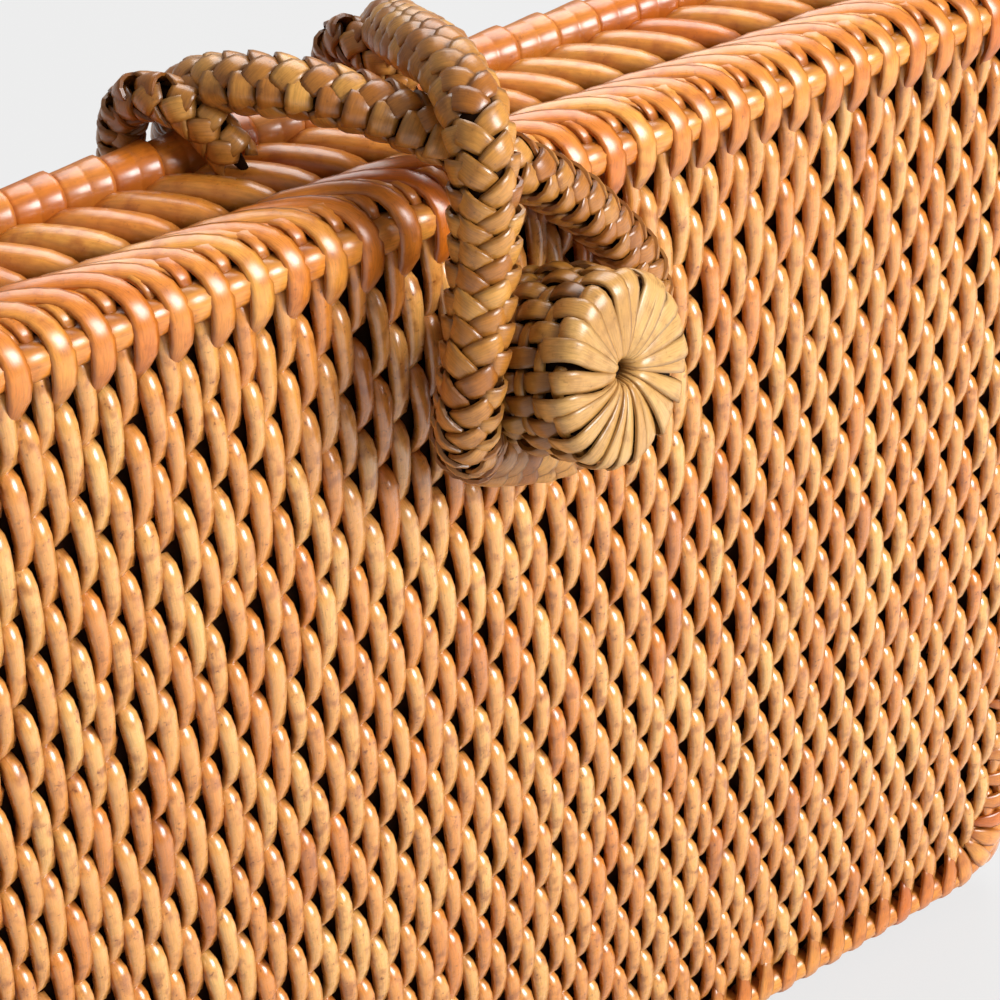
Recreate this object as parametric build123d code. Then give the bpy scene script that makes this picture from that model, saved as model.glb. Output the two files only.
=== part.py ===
"""Rectangular clutch bag of coiled cane weave, millimetres, +Z up, front towards -Y.

Two shallow woven trays stand mouth to mouth and hinge along the bottom. The front tray
carries a plaited toggle on a short stem, the back tray a plaited cord loop that goes over
the top, crosses itself and closes round the toggle.
"""
from build123d import *
import math
import os

# Driving dimensions
ROW = 5.5  # height of one coil row
ROWS = 27  # rows on the front wall
STITCH = 4.55  # one stitch to the next along a row
WRAP = 5.8  # one wrap to the next along the back edge
WIDTH = 210.0
HEIGHT = ROWS * ROW
DEPTH = 25.0  # crest of the front rows to crest of the back rows
CORNER = 14.0  # corner radius of the walls, seen from the front
RIDGE = 1.1  # how far a row stands out of the groove beside it
BULGE = 1.5  # how far each large wall bellies out at mid height
WALL = 3.8  # wall thickness over a row's crest

FRONT = -4.8  # crest of the front rows at the wall's edge
SEAM = FRONT + 8.8  # plane between the two trays
GAP = 0.4  # running gap between the trays
BACK = FRONT + DEPTH

FRAME = 3.0  # thickness of the narrow walls
FRONT_INSET = 2.4  # narrow wall of the front tray, in from the panel's outline
BACK_INSET = 4.2  # narrow wall of the back tray, which carries the thick strands
FRONT_FRAME_R = 11.5  # outer corner radius of the front tray's narrow wall
BACK_FRAME_R = 10.0
SHOULDER_R = 8.5
SHOULDER = 14.4  # depth at which the back tray steps in to seat the edge rope
SHOULDER_INSET = 6.4

STRIP = (1.1, 2.3)  # thin strip of the front border, thickness and height
STRIP_LEAN = 9.5  # how far a thin strip runs along the edge as it crosses
STRIP_SEAT = 0.15  # how deep a strip sits in the wall under it
STRIP_HEAD = 1.9  # a strip ends this far behind the front rows' crest
STRAND = 4.0  # thick strand of the back border, across its flats
STRAND_LEAN = 6.3  # how far a thick strand runs along the edge as it crosses
STRAND_SEAT = 0.2
STRAND_HEAD = 13.2  # depth at which a thick strand meets the rope
STRAND_FOOT = 1.6  # a thick strand ends this far behind the seam
ROPE_R = 3.0  # wrapped rope along the back edge, thick end of a wrap
ROPE_THIN = 2.5  # thin end of a wrap
ROPE_Y = 17.7  # depth of the rope's middle
ROPE_SIDES = 6
ROPE_LAP = 0.12  # how far each wrap tucks into the next

HINGE_Z = 2.4
HINGE_X = (-72.0, 0.0, 72.0)
HINGE_CLEAR = 3.2  # border strips stop this far from the hinge axis along the bottom
NOTCH = (18.6, 9.0, 2.8)  # room for a hinge: width, height, middle height
CANE_R = 1.2
CANE_LENGTH = 17.0
KNUCKLE_R = 2.0
KNUCKLE_SIDES = 12
KNUCKLE_PLAY = 0.06
KNUCKLE_HALF = 2.5  # half the front knuckle's width
KNUCKLE_SIDE = (2.8, 7.8)  # back knuckles, from and to, either side
STRAP = 0.8  # thickness of the hinge straps
RISER_OFF = 2.3  # a strap rises this far from the seam, clear of the other's knuckle
STRAP_TOP = 14.0  # the front strap climbs the wall to this height

TOGGLE_BASE = Vector(1.8, FRONT, 129.6)  # where the stem leaves the wall
TOGGLE_AXIS = Vector(0.213, -0.955, 0.205).normalized()
TOGGLE_REAR = 7.9  # wall to the rear of the barrel, along its axis
TOGGLE_FRONT = 20.2
TOGGLE_R = 10.0
TOGGLE_STRIPS = 24  # strips that meet at the centre of the face
TOGGLE_ROUND = 15  # plaited strips round the barrel
BARREL_SIDES = 20
CENTRE_HOLE_R = 1.5
STEM_R = 1.6
STEM_PLAY = 0.03
COLLAR_R = 3.4
COLLAR_WAIST = 2.6
COLLAR_SIDES = 10

CORD_D = 7.0  # plaited closure cord
KEEPER_D = 5.2  # the two short cords knotted at its roots
CORD_SIDES = 6
LOOP_ROUTE = [
    (-14.8, 19.4, 138.4), (-14.8, 24.7, 143.0), (-15.4, 24.5, 151.2), (-17.2, 19.4, 158.4),
    (-17.0, 12.2, 161.7), (-12.5, 5.7, 161.0), (-8.0, 0.2, 158.6), (-3.5, -5.7, 156.0),
    (2.0, -9.7, 152.8), (8.5, -9.7, 148.0), (15.0, -9.5, 141.8), (20.8, -9.5, 134.5),
    (22.0, -9.7, 126.0), (17.8, -10.2, 118.8), (10.4, -11.0, 116.0), (2.8, -11.4, 118.0),
    (-3.8, -12.8, 121.4), (-8.9, -16.4, 127.0), (-9.6, -18.6, 134.6), (-6.9, -16.5, 141.8),
    (-5.3, -15.4, 149.4), (-5.6, -15.5, 157.6), (-3.1, -10.2, 163.4), (0.1, -2.3, 165.8),
    (2.4, 5.2, 165.0), (5.5, 12.8, 162.2), (11.0, 19.6, 157.4), (12.9, 24.7, 150.0),
    (12.9, 24.8, 142.5), (12.9, 19.4, 137.8),
]
LEFT_KEEPER_ROUTE = [
    (-22.4, 19.4, 138.6), (-22.4, 23.8, 143.4), (-22.8, 23.6, 151.0), (-23.6, 19.0, 157.2),
    (-22.4, 14.4, 156.2), (-19.2, 13.2, 153.6), (-15.0, 13.6, 153.4),
]
RIGHT_KEEPER_ROUTE = [
    (4.8, 19.4, 138.6), (4.8, 23.8, 143.4), (4.4, 23.6, 150.8), (3.2, 19.4, 156.2),
    (3.2, 14.8, 155.2), (6.0, 13.0, 153.4),
]

CANE = (0.78, 0.42, 0.16)
DARK_CANE = (0.66, 0.33, 0.12)
CORD = (0.56, 0.40, 0.18)
STRAW = (0.80, 0.62, 0.32)

parts = {}


def keep(name, shape, colour):
    """File a finished piece under its node name."""
    shape.label = name
    shape.color = Color(*colour)
    parts[name] = shape
    return shape


# Rows of the large walls
STEPS = [k * ROW / 4 for k in range(4 * ROWS + 1)]


def ridge(z):
    """Outward height of the coil rows at height z, four flats to a row."""
    return RIDGE * abs(math.sin(math.pi * z / ROW))


def belly(z):
    """Outward bulge of a large wall at height z."""
    return BULGE * (1 - (2 * z / HEIGHT - 1) ** 2)


def corner_inset(z):
    """How far the rounded corners draw the outline in at height z."""
    d = max(CORNER - z, CORNER - (HEIGHT - z), 0.0)
    return CORNER - math.sqrt(max(CORNER**2 - d**2, 0.0))


def rows_side_view(y_crest, sign):
    """Section through a large wall: rows outside, a plain bellied face inside."""
    y_groove = y_crest - sign * RIDGE
    y_inside = y_crest - sign * WALL
    outer = [(y_groove + sign * (ridge(z) + belly(z)), z) for z in STEPS]
    inner = [(y_inside + sign * belly(z), z) for z in STEPS[::-9]]
    return outer + inner


def rows_run(y_crest, sign):
    """The side view of a large wall run across the whole width."""
    with BuildPart() as run:
        with BuildSketch(Plane.YZ):
            with BuildLine():
                Polyline(*rows_side_view(y_crest, sign), close=True)
            make_face()
        extrude(amount=WIDTH / 2 + 5, both=True)
    return run.part


def rowed_outline():
    """The front wall's outline seen from the front: rows show along its upright edges."""
    half = WIDTH / 2 - RIDGE
    right = [(half - corner_inset(z) + ridge(z), z) for z in STEPS]
    with BuildSketch(Plane.XZ) as outline:
        with BuildLine():
            Polyline(*right, *[(-x, z) for x, z in right[::-1]], close=True)
        make_face()
    return outline.sketch


def rounded_outline(inset, top, radius, y):
    """A plain rounded outline, drawn in by inset at the sides and the bottom."""
    with BuildSketch(Plane.XZ.offset(-y)) as outline:
        with Locations((0, (inset + top) / 2)):
            RectangleRounded(WIDTH - 2 * inset, top - inset, radius)
    return outline.sketch


def band(inset, top, radius, y_low, y_high):
    """A narrow wall running right round between two depths."""
    outer = rounded_outline(inset, top, radius, y_low)
    inner = rounded_outline(inset + FRAME, top - FRAME, radius - FRAME, y_low)
    return extrude(outer - inner, amount=-(y_high - y_low))


class EdgePath:
    """Distance round a rounded outline, clockwise from the front, from the top middle."""

    def __init__(self, inset, top, radius):
        self.r, self.top, self.bottom = radius, top, inset
        self.half = WIDTH / 2 - inset
        self.flat_x = 2 * (self.half - radius)
        self.flat_z = top - inset - 2 * radius
        self.arc = math.pi / 2 * radius
        self.length = 2 * (self.flat_x + self.flat_z) + 4 * self.arc

    def at(self, s):
        """Point (x, z) and outward direction (x, z) at distance s."""
        s = (s + self.flat_x / 2) % self.length
        sides = [
            (self.flat_x, (-self.half + self.r, self.top), 0.0),
            (self.flat_z, (self.half, self.top - self.r), -90.0),
            (self.flat_x, (self.half - self.r, self.bottom), -180.0),
            (self.flat_z, (-self.half, self.bottom + self.r), -270.0),
        ]
        for run, (x, z), heading in sides:
            h = math.radians(heading)
            along, out = (math.cos(h), math.sin(h)), (-math.sin(h), math.cos(h))
            if s <= run:
                return (x + along[0] * s, z + along[1] * s), out
            s -= run
            if s <= self.arc:
                cx = x + along[0] * run - out[0] * self.r
                cz = z + along[1] * run - out[1] * self.r
                a = h + math.pi / 2 - s / self.r
                out = (math.cos(a), math.sin(a))
                return (cx + out[0] * self.r, cz + out[1] * self.r), out
            s -= self.arc
        return self.at(0.0)

    def is_bottom(self, s):
        (_, z), _ = self.at(s)
        return z < self.bottom + 0.6 * self.r

    def point(self, s, lift, y):
        (x, z), (ox, oz) = self.at(s)
        return Vector(x + ox * lift, y, z + oz * lift), Vector(ox, 0, oz)


def bar(start, end, outward, section, taper=0.0):
    """A straight strand from start to end, its section's x axis turned outward."""
    run = end - start
    z_dir = run.normalized()
    x_dir = (outward - z_dir * outward.dot(z_dir)).normalized()
    plane = Plane(origin=start, x_dir=x_dir, z_dir=z_dir)
    return extrude(plane * section, amount=run.length, taper=taper)


def hinge_notches(clear_y):
    """Boxes cut from a narrow wall's bottom so that straps and knuckles have room."""
    low, high = clear_y
    width, height, middle = NOTCH
    size = (width, high - low, height)
    return [Pos(x, (low + high) / 2, middle) * Box(*size) for x in HINGE_X]


# Front tray: one woven wall with its narrow rim and the thin strips plaited over the rim
FRONT_TOP = 148.9
FRONT_EDGE = EdgePath(FRONT_INSET, FRONT_TOP, FRONT_FRAME_R)
front_panel = extrude(rowed_outline(), amount=60, both=True) & rows_run(FRONT, -1)
front_frame = band(FRONT_INSET, FRONT_TOP, FRONT_FRAME_R, FRONT + 2.2, SEAM - GAP / 2)

strip_count = round(FRONT_EDGE.length / STITCH)
strips = []
for k in range(strip_count):
    s = k * FRONT_EDGE.length / strip_count
    low_side = FRONT_EDGE.is_bottom(s) or FRONT_EDGE.is_bottom(s + STRIP_LEAN)
    y_seam = SEAM - (HINGE_CLEAR + 0.5 if low_side else 0.7)
    lean = STRIP_LEAN * (0.5 if low_side else 1.0)
    lift = STRIP[1] / 2 - STRIP_SEAT
    foot, out_a = FRONT_EDGE.point(s, lift, y_seam)
    head, out_b = FRONT_EDGE.point(s + lean, lift, FRONT + STRIP_HEAD)
    strips.append(bar(foot, head, (out_a + out_b).normalized(), Rectangle(STRIP[1], STRIP[0])))

front_shell = front_panel.fuse(front_frame).fuse(*strips)

# The stitches leave small gaps between them; a band of them is open round the toggle
pits = []
PIT = (1.5, 5.0, 1.9)
PIT_ROWS = 4  # rows from one line of pits to the next
PIT_STITCHES = 3.5  # stitches from one pit to the next along a line
PIT_CLEAR = 9.0  # none this near the toggle
for row in range(3, ROWS - 1, PIT_ROWS):
    for k in range(-5, 6):
        x = (k + 0.5 * (row // PIT_ROWS % 2)) * PIT_STITCHES * STITCH
        z = row * ROW
        beside_toggle = max(abs(x - TOGGLE_BASE.X), abs(z - TOGGLE_BASE.Z)) < PIT_CLEAR
        if not beside_toggle:
            pits.append(Pos(x, FRONT - belly(z), z) * Box(*PIT))
front_shell = front_shell.cut(*pits)

# The toggle's stem passes through the wall
STEM_FOOT = -5.4  # end of the stem inside the tray, along the toggle's axis
KNOT = 1.3  # thickness of the knot that stops the stem
KNOT_R = 2.4
toggle_plane = Plane(origin=TOGGLE_BASE, z_dir=TOGGLE_AXIS)


def on_axis(distance):
    return toggle_plane.offset(distance)


stem_hole = extrude(on_axis(STEM_FOOT) * Circle(STEM_R + STEM_PLAY), amount=3 * WALL)
front_notches = hinge_notches((SEAM - 2.4, SEAM + 1.0))
front_shell = front_shell.cut(stem_hole, *front_notches)
keep("front_shell", front_shell, CANE)

# Back tray: the deeper half, with a rim of thick strands
BACK_TOP = 146.0
BACK_EDGE = EdgePath(BACK_INSET, BACK_TOP, BACK_FRAME_R)
SHOULDER_TOP = BACK_TOP - 0.5
back_outline = rounded_outline(SHOULDER_INSET, SHOULDER_TOP, SHOULDER_R, 0.0)
back_panel = extrude(back_outline, amount=60, both=True) & rows_run(BACK, 1)
back_frame = band(BACK_INSET, BACK_TOP, BACK_FRAME_R, SEAM + GAP / 2, SHOULDER)
back_shoulder = band(SHOULDER_INSET, SHOULDER_TOP, SHOULDER_R, SHOULDER - 1.5, BACK - WALL + 0.6)

wrap_count = round(BACK_EDGE.length / WRAP)
strands = []
for k in range(wrap_count):
    s = k * BACK_EDGE.length / wrap_count
    low_side = BACK_EDGE.is_bottom(s) or BACK_EDGE.is_bottom(s + STRAND_LEAN)
    y_seam = SEAM + STRAND_FOOT + (HINGE_CLEAR if low_side else 0.0)
    reach = STRAND_LEAN * (STRAND_HEAD - y_seam) / (STRAND_HEAD - SEAM - STRAND_FOOT)
    lift = STRAND / 2 - STRAND_SEAT
    head, out_a = BACK_EDGE.point(s, lift, STRAND_HEAD)
    foot, out_b = BACK_EDGE.point(s + reach, lift, y_seam)
    hexagon = RegularPolygon(STRAND / 2, 6, major_radius=False)
    strands.append(bar(head, foot, (out_a + out_b).normalized(), hexagon, 2.5))

back_shell = back_panel.fuse(back_frame).fuse(back_shoulder).fuse(*strands)
back_shell = back_shell.cut(*hinge_notches((SEAM - 1.0, SEAM + 2.4)))
keep("back_shell", back_shell, CANE)

# Rope along the back edge: a core wound with cane, each wrap a cone fatter at one end
ROPE_EDGE = EdgePath(ROPE_R, HEIGHT + 0.4, 12.0)
rope_count = round(ROPE_EDGE.length / WRAP)
rope_step = ROPE_EDGE.length / rope_count
wraps = []
for k in range(rope_count):
    start, out = ROPE_EDGE.point(k * rope_step - ROPE_LAP, 0.0, ROPE_Y)
    end, _ = ROPE_EDGE.point((k + 1) * rope_step + ROPE_LAP, 0.0, ROPE_Y)
    run = end - start
    plane = Plane(origin=start, x_dir=out.cross(run), z_dir=run)
    thin = plane * RegularPolygon(ROPE_THIN, ROPE_SIDES)
    fat = plane.offset(run.length) * RegularPolygon(ROPE_R, ROPE_SIDES)
    wraps.append(loft([thin, fat], ruled=True))
back_rope = wraps[0].fuse(*wraps[1:])
keep("back_edge_rope", back_rope, DARK_CANE)

# Cane hinges along the bottom: a cane pin held by one front strap and one back strap


def knuckle(x_low, x_high):
    """A strap end rolled round the cane."""
    ring = RegularPolygon(KNUCKLE_R, KNUCKLE_SIDES) - Circle(CANE_R + KNUCKLE_PLAY)
    plane = Plane(origin=(x_low, SEAM, HINGE_Z), x_dir=(0, 1, 0), z_dir=(1, 0, 0))
    return extrude(plane * ring, amount=x_high - x_low)


def slab(x_low, x_high, y_low, y_high, z_low, z_high):
    """A flat run of a strap between two corners."""
    size = (x_high - x_low, y_high - y_low, z_high - z_low)
    middle = ((x_high + x_low) / 2, (y_high + y_low) / 2, (z_high + z_low) / 2)
    return Pos(*middle) * Box(*size)


def front_strap(x):
    """From the knuckle up through the notch, over the rim's inside and up the wall."""
    low, high = x - KNUCKLE_HALF, x + KNUCKLE_HALF
    z_floor = FRONT_INSET + FRAME
    y_wall = FRONT + WALL
    riser = slab(low, high, SEAM - RISER_OFF, SEAM - RISER_OFF + STRAP, HINGE_Z, z_floor + STRAP)
    floor = slab(low, high, y_wall, SEAM - RISER_OFF + STRAP, z_floor, z_floor + STRAP)
    upright = slab(low, high, y_wall, y_wall + STRAP, z_floor, STRAP_TOP)
    return knuckle(low, high).fuse(riser, floor, upright)


def back_strap(x):
    """Two knuckles, joined behind the front one and laid along the back rim's inside."""
    low, high = x - KNUCKLE_SIDE[1], x + KNUCKLE_SIDE[1]
    near = KNUCKLE_SIDE[0]
    z_floor = BACK_INSET + FRAME
    y_riser = SEAM + RISER_OFF - STRAP
    risers = [slab(low, x - near, y_riser, y_riser + STRAP, HINGE_Z, z_floor + STRAP)]
    risers.append(slab(x + near, high, y_riser, y_riser + STRAP, HINGE_Z, z_floor + STRAP))
    floor = slab(low, high, y_riser, SHOULDER - 1.6, z_floor, z_floor + STRAP)
    return knuckle(low, x - near).fuse(knuckle(x + near, high), *risers, floor)


for name, x in zip(("left", "middle", "right"), HINGE_X):
    pin_plane = Plane(origin=(x - CANE_LENGTH / 2, SEAM, HINGE_Z), x_dir=(0, 1, 0), z_dir=(1, 0, 0))
    keep(f"{name}_hinge_cane", extrude(pin_plane * Circle(CANE_R), amount=CANE_LENGTH), DARK_CANE)
    keep(f"{name}_front_strap", front_strap(x), CANE)
    keep(f"{name}_back_strap", back_strap(x), CANE)

# Toggle: a plaited barrel on a stem, with a coiled collar behind it
STEM_SOCKET = 3.0  # how far the stem enters the barrel
toggle_place = toggle_plane.location
barrel_profile = [
    (TOGGLE_REAR, 7.6),
    (TOGGLE_REAR + 2.3, TOGGLE_R - 0.8),
    (TOGGLE_REAR + 4.1, TOGGLE_R - 0.5),
    (TOGGLE_FRONT - 1.8, TOGGLE_R - 0.5),
    (TOGGLE_FRONT - 0.5, TOGGLE_R - 1.1),
]
barrel = None
for (d0, r0), (d1, r1) in zip(barrel_profile, barrel_profile[1:]):
    rings = [on_axis(d) * RegularPolygon(r, BARREL_SIDES) for d, r in ((d0, r0), (d1, r1))]
    piece = loft(rings, ruled=True)
    barrel = piece if barrel is None else barrel.fuse(piece)

TILE_ROWS = 4
TILE_PITCH = 2.35
TILE = (3.3, 1.8, 1.4)
TILE_TURN = 38
tiles = []
for i in range(TOGGLE_ROUND):
    for j in range(TILE_ROWS):
        turn = (i + 0.5 * (j % 2)) * 360 / TOGGLE_ROUND
        on_ring = toggle_place * Pos(0, 0, TOGGLE_REAR + 3.0 + j * TILE_PITCH) * Rot(0, 0, turn)
        tiles.append(on_ring * Pos(TOGGLE_R - 0.9, 0, 0) * Rot(0, -90, 0) * Rot(0, 0, TILE_TURN) * Box(*TILE))
face_strips = []
with BuildSketch() as wedge:
    with BuildLine():
        Polyline((1.9, -0.22), (8.7, -0.95), (8.7, 0.95), (1.9, 0.22), close=True)
    make_face()
for i in range(TOGGLE_STRIPS):
    on_face = toggle_place * Pos(0, 0, TOGGLE_FRONT - 0.7) * Rot(0, 0, i * 360 / TOGGLE_STRIPS)
    face_strips.append(on_face * extrude(wedge.sketch, amount=0.7))
barrel = barrel.fuse(*tiles).fuse(*face_strips)
centre_hole = extrude(on_axis(TOGGLE_FRONT - 6.0) * Circle(CENTRE_HOLE_R), amount=8)
socket = extrude(on_axis(TOGGLE_REAR - 1) * Circle(STEM_R + STEM_PLAY), amount=1 + STEM_SOCKET)
barrel = barrel.cut(centre_hole, socket)
keep("toggle_barrel", barrel, STRAW)

COLLAR_COILS = 3
COLLAR_START = 1.6  # clear of the wall's rows, along the axis
coil = (TOGGLE_REAR - COLLAR_START) / COLLAR_COILS
collar = None
for k in range(COLLAR_COILS):
    d = COLLAR_START + k * coil
    bead = ((0, COLLAR_WAIST), (0.5, COLLAR_R), (1, COLLAR_WAIST))
    rings = [on_axis(d + a * coil) * RegularPolygon(r, COLLAR_SIDES) for a, r in bead]
    piece = loft(rings[:2], ruled=True).fuse(loft(rings[1:], ruled=True))
    collar = piece if collar is None else collar.fuse(piece)
collar = collar.cut(extrude(on_axis(0) * Circle(STEM_R + STEM_PLAY), amount=TOGGLE_REAR))
keep("toggle_collar", collar, STRAW)

stem = extrude(on_axis(STEM_FOOT) * Circle(STEM_R), amount=TOGGLE_REAR + STEM_SOCKET - STEM_FOOT)
knot = extrude(on_axis(STEM_FOOT) * RegularPolygon(KNOT_R, 8), amount=KNOT)
keep("toggle_stem", stem.fuse(knot), STRAW)


# Cords: straight runs joined by arcs as large as the runs allow, ends seated on the back rows
def cord(name, route, diameter, colour):
    points = [Vector(*p) for p in route]
    radii = []
    for a, b, c in zip(points, points[1:], points[2:]):
        turn = math.radians((b - a).get_angle(c - b))
        shorter = min((b - a).length, (c - b).length)
        radii.append(0.45 * shorter / math.tan(turn / 2))
    path = FilletPolyline(*points, radius=radii)
    start = Plane(origin=path @ 0, z_dir=path % 0)
    section = start * RegularPolygon(diameter / 2, CORD_SIDES)
    tube = sweep(section, path=path)
    area = section.area
    print(name, "length", round(path.length, 1), "volume", round(tube.volume, 1),
          "section x length", round(area * path.length, 1))
    print("  radii", [round(r, 1) for r in radii])
    keep(name, tube - back_panel, colour)


cord("closure_loop", LOOP_ROUTE, CORD_D, CORD)
cord("left_loop_keeper", LEFT_KEEPER_ROUTE, KEEPER_D, CORD)
cord("right_loop_keeper", RIGHT_KEEPER_ROUTE, KEEPER_D, CORD)

# Write one file per piece
os.makedirs("parts", exist_ok=True)
for name, shape in parts.items():
    export_step(shape, f"parts/{name}.step")
    box = shape.bounding_box()
    print(name, len(shape.solids()), "solid", round(shape.volume), "mm3", box.min, box.max)
print("front strips", strip_count, "strands", wrap_count, "rope wraps", rope_count, "pits", len(pits))
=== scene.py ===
import bpy
import math
import numpy as np
from mathutils import Matrix, Vector


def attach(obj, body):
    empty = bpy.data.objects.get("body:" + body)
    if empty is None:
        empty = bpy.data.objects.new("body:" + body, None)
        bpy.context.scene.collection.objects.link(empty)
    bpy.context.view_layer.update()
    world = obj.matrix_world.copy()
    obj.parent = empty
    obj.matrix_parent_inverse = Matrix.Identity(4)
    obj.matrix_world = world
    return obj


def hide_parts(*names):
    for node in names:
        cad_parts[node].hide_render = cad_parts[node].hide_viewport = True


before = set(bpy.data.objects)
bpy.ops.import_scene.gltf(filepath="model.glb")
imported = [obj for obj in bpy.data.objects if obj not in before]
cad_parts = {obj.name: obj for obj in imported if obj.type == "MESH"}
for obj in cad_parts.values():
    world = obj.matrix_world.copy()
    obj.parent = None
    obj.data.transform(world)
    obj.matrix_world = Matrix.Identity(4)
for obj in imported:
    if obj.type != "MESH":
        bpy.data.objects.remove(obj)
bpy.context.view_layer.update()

# Camera, close to the upper left of the front wall and looking down along it. Its place, turn
# and lens were fitted to the rows, the toggle and the upper edge in the photograph.
MM = 0.001  # the bag's own sizes and places below are in millimetres
CAMERA_PLACE = Vector((-0.1565, -0.2085, 0.2839))
CAMERA_DIRECTION = (-0.515, -0.64845, 0.56061)  # from what it sees back to the camera
CAMERA_UP = Vector((0.33947, 0.44625, 0.82802))
camera_data = bpy.data.cameras.new("camera")
camera_data.sensor_width = 36.0
camera_data.lens = 101.5
camera_data.clip_start = 0.01
camera = bpy.data.objects.new("camera", camera_data)
bpy.context.scene.collection.objects.link(camera)
camera_back = Vector(CAMERA_DIRECTION).normalized()
camera_side = CAMERA_UP.cross(camera_back).normalized()
camera_turn = Matrix((camera_side, camera_back.cross(camera_side), camera_back)).transposed()
camera.matrix_world = Matrix.Translation(CAMERA_PLACE) @ camera_turn.to_4x4()
bpy.context.scene.camera = camera
bpy.context.scene.view_settings.view_transform = "Standard"

# Closure loop: a cord plaited from flat straw strips over a thin core. Both ends are pushed
# through the back wall; it goes over the top, round the toggle and back over itself.
LOOP_ROUTE = [
    (-14.8, 19.4, 138.4), (-14.8, 24.7, 143.0), (-15.8, 24.3, 149.8), (-17.4, 19.4, 155.6),
    (-17.0, 12.2, 158.9), (-12.5, 5.7, 159.4), (-8.0, 0.2, 158.4), (-3.5, -5.7, 156.0),
    (2.0, -9.7, 152.8), (8.5, -9.7, 148.0), (15.0, -9.5, 141.8), (20.8, -9.5, 134.5),
    (22.0, -9.7, 126.0), (17.8, -10.2, 118.8), (10.4, -11.0, 116.0), (2.8, -11.4, 118.0),
    (-3.8, -12.8, 121.4), (-8.9, -16.4, 127.0), (-9.6, -18.6, 134.6), (-6.9, -16.5, 141.8),
    (-5.3, -15.4, 149.4), (-5.6, -15.5, 156.8), (-3.6, -11.4, 161.2), (-1.2, -4.0, 162.4),
    (1.0, 3.8, 161.2), (3.8, 11.2, 159.0), (7.8, 18.4, 156.4), (11.4, 24.6, 150.8),
    (12.9, 25.0, 143.6), (12.9, 19.4, 137.8),
]
CORD_D = 7.0
LOOP_CORE_RADIUS = 2.5
# The plait's twist along the loop, in degrees, and where its leaves change their direction
TWIST_PLACES = (0, 110, 150, 178, 233)
TWIST_ANGLES = (-60, -60, 0, 22, 22)
FLIP_PLACE = 125
MIX_SOCKETS = (0, 6, 7)  # a colour Mix node's factor and its two colours
MIX_RESULT = 2
random = np.random.default_rng(7)


def scatter(rows, columns, source=random):
    """Random differences between strands, none of them far from the others."""
    return source.standard_normal((rows, columns)).clip(-2, 2)


def shades(middle, spread, differences, least=0.1):
    """One tone a strand, from 0 (darkest) to 1 (palest)."""
    return np.clip(middle + spread * differences, least, 1)


def colour(red, green, blue):
    """A colour given as it looks on a screen, 0 to 255, made linear."""
    parts = [c / 255 for c in (red, green, blue)]
    linear = [c / 12.92 if c < 0.04045 else ((c + 0.055) / 1.055) ** 2.4 for c in parts]
    return (*linear, 1.0)


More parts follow.
